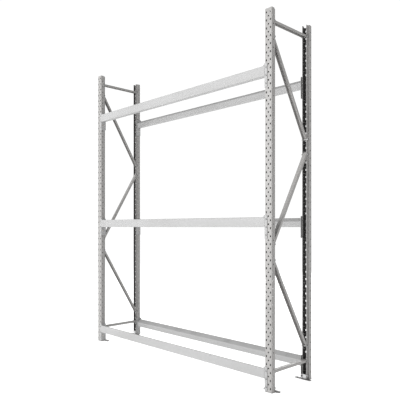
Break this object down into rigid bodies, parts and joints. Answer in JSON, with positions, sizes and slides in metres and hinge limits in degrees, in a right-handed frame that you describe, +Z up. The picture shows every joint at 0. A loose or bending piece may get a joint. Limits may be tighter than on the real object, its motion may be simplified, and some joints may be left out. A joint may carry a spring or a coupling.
{
  "type": "tyre storage rack",
  "caption": "Free-standing boltless steel rack that holds upright tyres between pairs of sloped beams hooked into perforated uprights.",
  "frame": {"origin": "bottom centre of the rack, on the floor", "axes": "+Z up, +X along the beams to the right, +Y from the front to the rear"},
  "size_m": [2.037, 0.4416, 2.4],
  "materials": {
    "upright_paint": "satin light grey coating",
    "beam_paint": "satin light grey coating",
    "brace_steel": "satin grey coating",
    "foot_zinc": "galvanised",
    "bolt_zinc": "bright zinc plate",
    "pin_zinc": "yellow zinc plate"
  },
  "bodies": {
    "rack": {"upright_front_left": "upright_paint", "upright_front_right": "upright_paint", "upright_rear_left": "upright_paint", "upright_rear_right": "upright_paint", "foot_front_left": "foot_zinc", "foot_front_right": "foot_zinc", "foot_rear_left": "foot_zinc", "foot_rear_right": "foot_zinc", "brace_bottom_left": "brace_steel", "brace_lower_left": "brace_steel", "brace_middle_left": "brace_steel", "brace_upper_left": "brace_steel", "brace_top_left": "brace_steel", "brace_bottom_right": "brace_steel", "brace_lower_right": "brace_steel", "brace_middle_right": "brace_steel", "brace_upper_right": "brace_steel", "brace_top_right": "brace_steel", "beam_low_front": "beam_paint", "beam_low_rear": "beam_paint", "beam_mid_front": "beam_paint", "beam_mid_rear": "beam_paint", "beam_top_front": "beam_paint", "beam_top_rear": "beam_paint", "connector_low_front_left": "beam_paint", "connector_low_front_right": "beam_paint", "connector_low_rear_left": "beam_paint", "connector_low_rear_right": "beam_paint", "connector_mid_front_left": "beam_paint", "connector_mid_front_right": "beam_paint", "connector_mid_rear_left": "beam_paint", "connector_mid_rear_right": "beam_paint", "connector_top_front_left": "beam_paint", "connector_top_front_right": "beam_paint", "connector_top_rear_left": "beam_paint", "connector_top_rear_right": "beam_paint", "brace_bolts_left": "bolt_zinc", "brace_bolts_right": "bolt_zinc", "brace_nuts_left": "bolt_zinc", "brace_nuts_right": "bolt_zinc", "foot_bolts": "bolt_zinc", "foot_nuts": "bolt_zinc"},
    "safety_pin_low_front_left": {"safety_pin_low_front_left": "pin_zinc"},
    "safety_pin_low_front_right": {"safety_pin_low_front_right": "pin_zinc"},
    "safety_pin_low_rear_left": {"safety_pin_low_rear_left": "pin_zinc"},
    "safety_pin_low_rear_right": {"safety_pin_low_rear_right": "pin_zinc"},
    "safety_pin_mid_front_left": {"safety_pin_mid_front_left": "pin_zinc"},
    "safety_pin_mid_front_right": {"safety_pin_mid_front_right": "pin_zinc"},
    "safety_pin_mid_rear_left": {"safety_pin_mid_rear_left": "pin_zinc"},
    "safety_pin_mid_rear_right": {"safety_pin_mid_rear_right": "pin_zinc"},
    "safety_pin_top_front_left": {"safety_pin_top_front_left": "pin_zinc"},
    "safety_pin_top_front_right": {"safety_pin_top_front_right": "pin_zinc"},
    "safety_pin_top_rear_left": {"safety_pin_top_rear_left": "pin_zinc"},
    "safety_pin_top_rear_right": {"safety_pin_top_rear_right": "pin_zinc"}
  },
  "joints": [
    {"name": "pull_pin_low_front_left", "type": "slide", "parent": "rack", "child": "safety_pin_low_front_left", "axis": [1, 0, 0], "range_m": [0, 0.018]},
    {"name": "pull_pin_low_front_right", "type": "slide", "parent": "rack", "child": "safety_pin_low_front_right", "axis": [-1, 0, 0], "range_m": [0, 0.018]},
    {"name": "pull_pin_low_rear_left", "type": "slide", "parent": "rack", "child": "safety_pin_low_rear_left", "axis": [1, 0, 0], "range_m": [0, 0.018]},
    {"name": "pull_pin_low_rear_right", "type": "slide", "parent": "rack", "child": "safety_pin_low_rear_right", "axis": [-1, 0, 0], "range_m": [0, 0.018]},
    {"name": "pull_pin_mid_front_left", "type": "slide", "parent": "rack", "child": "safety_pin_mid_front_left", "axis": [1, 0, 0], "range_m": [0, 0.018]},
    {"name": "pull_pin_mid_front_right", "type": "slide", "parent": "rack", "child": "safety_pin_mid_front_right", "axis": [-1, 0, 0], "range_m": [0, 0.018]},
    {"name": "pull_pin_mid_rear_left", "type": "slide", "parent": "rack", "child": "safety_pin_mid_rear_left", "axis": [1, 0, 0], "range_m": [0, 0.018]},
    {"name": "pull_pin_mid_rear_right", "type": "slide", "parent": "rack", "child": "safety_pin_mid_rear_right", "axis": [-1, 0, 0], "range_m": [0, 0.018]},
    {"name": "pull_pin_top_front_left", "type": "slide", "parent": "rack", "child": "safety_pin_top_front_left", "axis": [1, 0, 0], "range_m": [0, 0.018]},
    {"name": "pull_pin_top_front_right", "type": "slide", "parent": "rack", "child": "safety_pin_top_front_right", "axis": [-1, 0, 0], "range_m": [0, 0.018]},
    {"name": "pull_pin_top_rear_left", "type": "slide", "parent": "rack", "child": "safety_pin_top_rear_left", "axis": [1, 0, 0], "range_m": [0, 0.018]},
    {"name": "pull_pin_top_rear_right", "type": "slide", "parent": "rack", "child": "safety_pin_top_rear_right", "axis": [-1, 0, 0], "range_m": [0, 0.018]}
  ]
}
